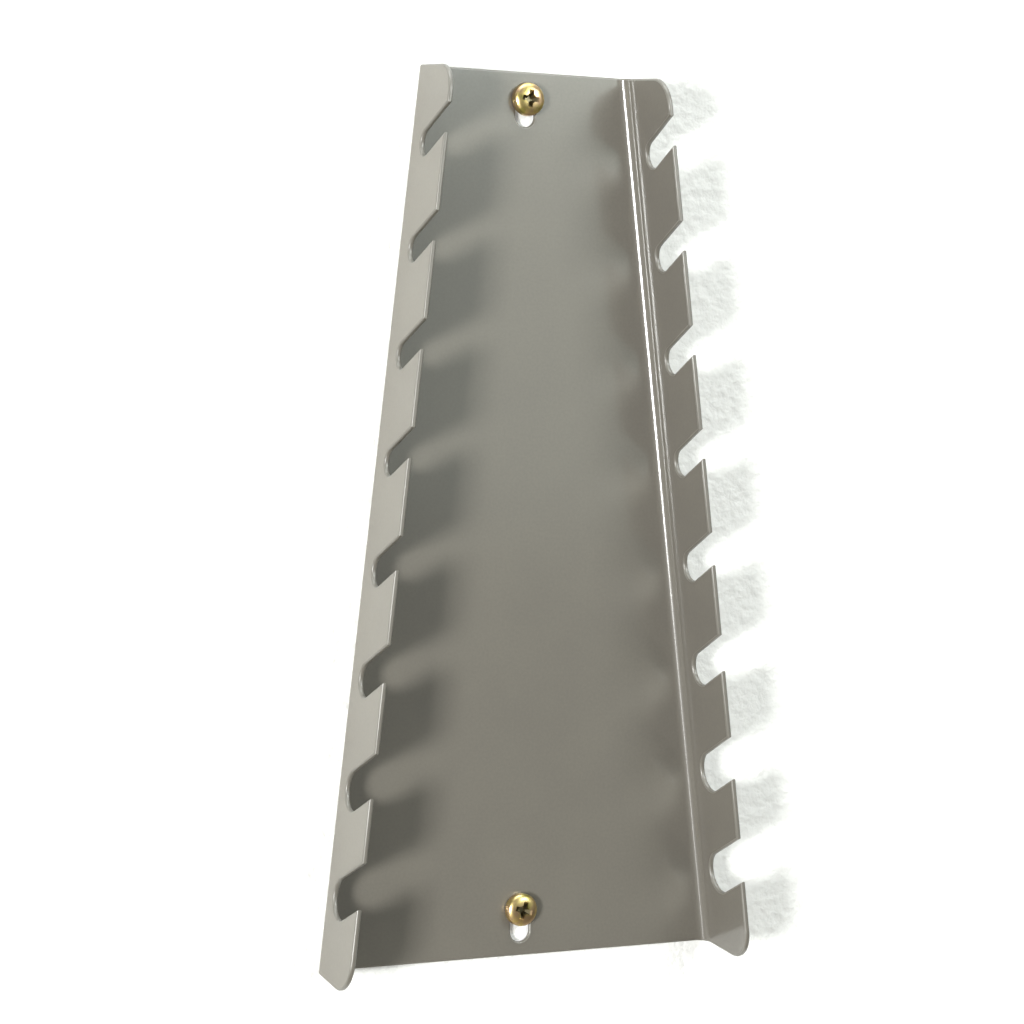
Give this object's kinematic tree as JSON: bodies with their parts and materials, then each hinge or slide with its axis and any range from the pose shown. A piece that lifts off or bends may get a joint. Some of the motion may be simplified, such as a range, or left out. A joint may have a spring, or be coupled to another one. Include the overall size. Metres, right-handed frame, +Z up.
{
  "type": "wrench rack",
  "caption": "Tapered wall rack folded from steel sheet, with toothed side flanges whose sloping slots hold wrenches across them, hung on screws in wall plugs.",
  "frame": {"origin": "middle of the back plate's rear face, which lies on the wall", "axes": "+X right, +Y into the wall, +Z up; the flanges stand forward along -Y"},
  "size_m": [0.1266, 0.0643, 0.2584],
  "materials": {
    "powder_coat": "satin grey powder coat on steel sheet",
    "yellow_zinc": "yellow-passivated zinc on steel",
    "plug_nylon": "moulded nylon"
  },
  "bodies": {
    "wall_plugs": {"upper_wall_plug": "plug_nylon", "lower_wall_plug": "plug_nylon"},
    "rack": {"rack_body": "powder_coat"},
    "upper_screw": {"upper_screw": "yellow_zinc"},
    "lower_screw": {"lower_screw": "yellow_zinc"}
  },
  "joints": [
    {"name": "rack_slide", "type": "slide", "parent": "wall_plugs", "child": "rack", "axis": [0, 0, 1], "range_m": [0, 0.005]},
    {"name": "upper_screw_turn", "type": "hinge", "parent": "wall_plugs", "child": "upper_screw", "pos_m": [0.0003, 0, 0.12014], "axis": [0, 1, 0], "continuous": true},
    {"name": "lower_screw_turn", "type": "hinge", "parent": "wall_plugs", "child": "lower_screw", "pos_m": [-0.0003, 0, -0.11459], "axis": [0, 1, 0], "continuous": true}
  ]
}
